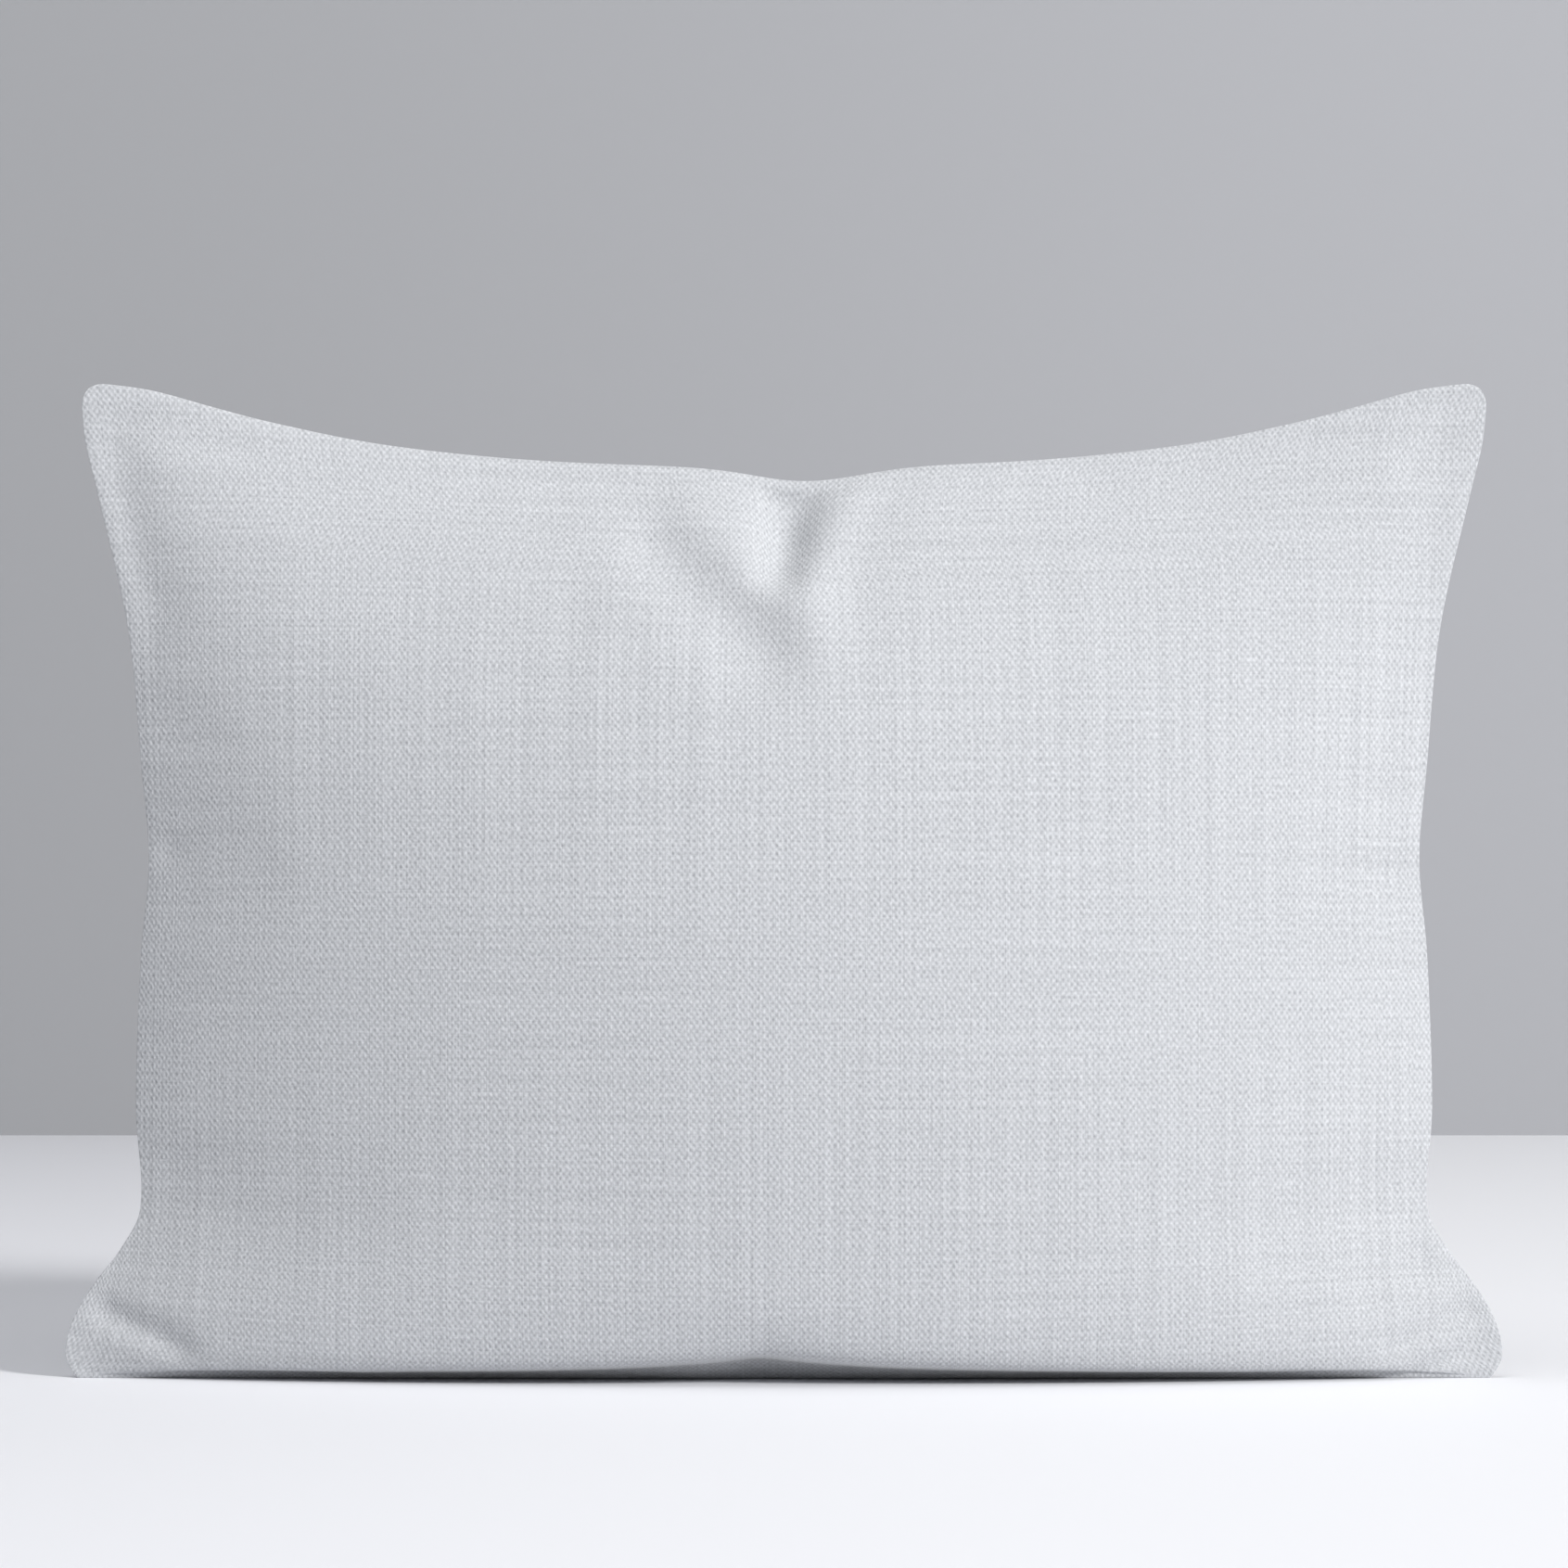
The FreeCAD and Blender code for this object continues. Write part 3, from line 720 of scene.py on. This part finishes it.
def build_backdrop():
    """A pale table that meets a grey wall."""
    # the table and the wall are both painted darker to the left and lighter to the right: painted
    # shade and painted light
    floor = stage_material_with_painted_light("pale_table", (0.765, 0.77, 0.805), (0.85, 0.855, 0.88), 0.7)
    wall = stage_material_with_painted_light("grey_wall", (0.32, 0.325, 0.34), (0.35, 0.355, 0.375), 0.9)
    left, right = -STAGE_REACH, STAGE_REACH
    near, top = -STAGE_REACH, WALL_TOP
    foot = [(right, WALL_Y, 0), (left, WALL_Y, 0)]
    plane("floor", [(left, near, 0), (right, near, 0)] + foot, floor)
    plane("wall", foot[::-1] + [(right, WALL_Y, top), (left, WALL_Y, top)], wall)


def build_lights():
    """A key light from the front right, a weak one overhead, and a dim even room."""
    area_light(
        "key", place=(5.4, -4.8, 3.4), target=(0, 0, 0.15), size=1.4, power=700,
        colour=(1.0, 0.99, 0.98)
    )
    area_light(
        "overhead", place=(-0.4, -0.9, 3.0), target=(0, 0, 0.1), size=2.6, power=44,
        colour=(0.98, 0.99, 1.0)
    )
    world = bpy.data.worlds.new("soft_room")
    world.use_nodes = True
    back = world.node_tree.nodes["Background"]
    back.inputs["Color"].default_value = (0.95, 0.97, 1.0, 1)
    back.inputs["Strength"].default_value = 0.20
    bpy.context.scene.world = world


def build_camera():
    """A level camera straight in front, shifted up so that upright lines stay upright."""
    camera = bpy.data.cameras.new("camera")
    camera.sensor_width = 36
    camera.lens = camera.sensor_width * CAMERA_DISTANCE / FRAME_WIDTH
    camera.shift_y = (FRAME_CENTRE_Z - CAMERA_HEIGHT) / FRAME_WIDTH
    holder = bpy.data.objects.new("camera", camera)
    holder.location = (0, -CAMERA_DISTANCE, CAMERA_HEIGHT)
    holder.rotation_euler = (math.pi / 2, 0, 0)
    bpy.context.collection.objects.link(holder)
    bpy.context.scene.camera = holder
    bpy.context.scene.view_settings.view_transform = "Standard"


# ---- assembly --------------------------------------------------------------------------------


def fold_shift(points, side, table):
    """How far the folds and the dip in the top seam move each point."""
    x, z = points[..., 0], points[..., 2]
    shift = np.zeros_like(points)
    limit = FOLD_SHARE * np.abs(points[..., 1])
    pushed = limit * np.tanh(folds(points, table) / limit)
    pushed *= smooth(edge_distance(points) / FOLD_FADE)
    if side > 0:
        pushed *= 1 - near_zip(x, z)
    shift[..., 1] = -side * pushed
    dip = NOTCH_DEPTH * np.exp(-(((x - NOTCH_X) / NOTCH_WIDTH) ** 2))
    height = (z - NOTCH_FROM_Z) / (TOP_OUTLINE[0][1] - NOTCH_FROM_Z)
    shift[..., 2] = -dip * smooth(height) ** 2
    return shift


def shaped_grids():
    """The cover's points on each side, folded and relaxed."""
    grids = {}
    for side, table in ((-1, FRONT_FOLDS), (1, BACK_FOLDS)):
        points = cover_grid(side)
        shift = fold_shift(points, side, table)
        shift += relax("relaxed_sheet", points + shift, side)
        points = points + shift
        points[..., 1] = side * np.maximum(side * points[..., 1], RIM)
        points[..., 2] = np.maximum(points[..., 2], 0.0)
        grids[side] = points
    return grids


def in_slot():
    """The quads of the back grid that the zip opening removes."""
    quads = np.zeros(QUADS, bool)
    quads[COLUMNS_OUTSIDE:-COLUMNS_OUTSIDE, SLOT_ROW : SLOT_ROW + 2] = True
    return quads


def dress(piece, material, replaces=()):
    """Gives a piece its material and the CAD nodes it stands for."""
    piece.data.materials.append(material)
    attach(piece, "pillow")
    if replaces:
        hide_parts(*replaces)
    return piece


def build_cover(grids, cloth):
    """The front panel, and the back panels above and below the zip."""
    every = np.ones(QUADS, bool)
    row = np.arange(ROW_COUNT - 1)
    front = panel("front_cloth", grids[-1], -1, every)
    back = grids[1]
    open_back = every & ~in_slot()
    upper = panel("back_upper_cloth", back, 1, open_back & (row > SLOT_ROW))
    lower = panel("back_lower_cloth", back, 1, open_back & (row <= SLOT_ROW))
    for piece, node in (
        (front, "cover_front_panel"),
        (upper, "cover_back_upper_panel"),
        (lower, "cover_back_lower_panel"),
    ):
        dress(piece, cloth, replaces=[node])


def build_seam(grids, thread):
    """The seam's thread, down between the two panels all the way round."""
    ring = []
    points = grids[-1]
    for edge in (points[:, 0], points[-1, 1:], points[-2::-1, -1], points[0, -2:0:-1]):
        ring.extend(edge.tolist())
    ring = np.array(ring)
    inwards = np.array([0, 0, PANEL_MIDDLE_Z]) - ring
    inwards[:, 1] = 0
    inwards /= np.linalg.norm(inwards, axis=1, keepdims=True)
    ring += SEAM_THREAD_INSET * inwards
    ring[:, 1] = 0
    ring[:, 2] = np.maximum(ring[:, 2], 2 * THREAD_RADIUS)
    seam = curve("seam_thread", [ring], THREAD_RADIUS, cyclic=True)
    dress(seam, thread, replaces=["cover_seam_thread"])


def build_insert(grids, cloth, fibre, thread):
    """The inner pillow: its casing, its filling and its sewing."""
    every = np.ones(QUADS, bool)
    sides = (("front", -1), ("back", 1))
    for name, side in sides:
        points = inner_grid(grids[side], CASING_INSET, CASING_DEPTH)
        casing = panel("insert_" + name + "_cloth", points, side, every)
        dress(casing, cloth, replaces=["insert_casing_" + name])
    halves = []
    for name, side in sides:
        points = inner_grid(grids[side], FILL_INSET, FILL_DEPTH)
        halves.append(panel("filling_" + name, points, side, every))
    dress(halves[0], fibre, replaces=["fibre_fill"])
    dress(halves[1], fibre)
    paint("insert_seam_thread", thread)
    paint("insert_closing_stitches", thread)


def build_label(grids, satin):
    """The care label, against the inside of the back panel at its side seam."""
    points = inner_grid(grids[1], 0.0, LABEL_DEPTH)
    x, z = points[:-1, :-1, 0], points[:-1, :-1, 2]
    reach = x + side_half_width(z)
    chosen = (reach > LABEL_REACH[0]) & (reach < LABEL_REACH[1])
    chosen &= (z > LABEL_Z[0]) & (z < LABEL_Z[1])
    label = panel("label_cloth", points, 1, chosen, turn_edges=False)
    thick = label.modifiers.new("Thick", "SOLIDIFY")
    thick.thickness = LABEL_THICKNESS
    dress(label, satin, replaces=["care_label"])


def paint(node, material):
    """Gives a CAD node that stays a better material."""
    mesh_object = frame["nodes"][node]
    for slot in mesh_object.material_slots:
        slot.material = material


def build_zip(thread, tape, nylon, metal):
    """The zip's coils, tapes, sewing and metal parts."""
    for name, sign in (("upper", 1), ("lower", -1)):
        dress(coil("coil_" + name, sign), nylon, replaces=["zip_coil_" + name])
        row = stitch_row("topstitch_" + name, sign * STITCH_ROW, SLOT_HALF_LENGTH)
        dress(row, thread, replaces=["zip_topstitch_" + name])
        paint("zip_tape_" + name, tape)
    dress(bar_tacks("bar_tacks"), thread, replaces=["zip_bar_tacks"])
    for node in ("zip_slider", "zip_pull", "zip_top_stops", "zip_bottom_stop"):
        paint(node, metal)


build_backdrop()
build_lights()
build_camera()
linen = weave(
    "linen", "cloth", warp=1.05 * MM, weft=1.45 * MM, uneven=1.15,
    dark=(0.182, 0.189, 0.204), light=(0.55, 0.564, 0.588)
)
cotton = weave(
    "insert_cotton", "cloth", warp=0.5 * MM, weft=0.5 * MM, uneven=0.4, depth=0.1 * MM,
    dark=(0.66, 0.66, 0.66), light=(0.86, 0.86, 0.86)
)
satin = weave(
    "label_satin", "cloth", warp=0.3 * MM, weft=0.25 * MM, uneven=0.2, depth=0.05 * MM,
    dark=(0.70, 0.70, 0.68), light=(0.88, 0.88, 0.86)
)
tape = weave(
    "zip_tape_weave", None, warp=0.5 * MM, weft=0.7 * MM, uneven=0.4, depth=0.12 * MM,
    dark=(0.46, 0.47, 0.50), light=(0.68, 0.70, 0.73), axes=(0, 2)
)
thread = thread_material()
grids = shaped_grids()
build_cover(grids, linen)
build_seam(grids, thread)
build_insert(grids, cotton, fibre_material(), thread)
build_label(grids, satin)
build_zip(thread, tape, coil_material(), metal_material())
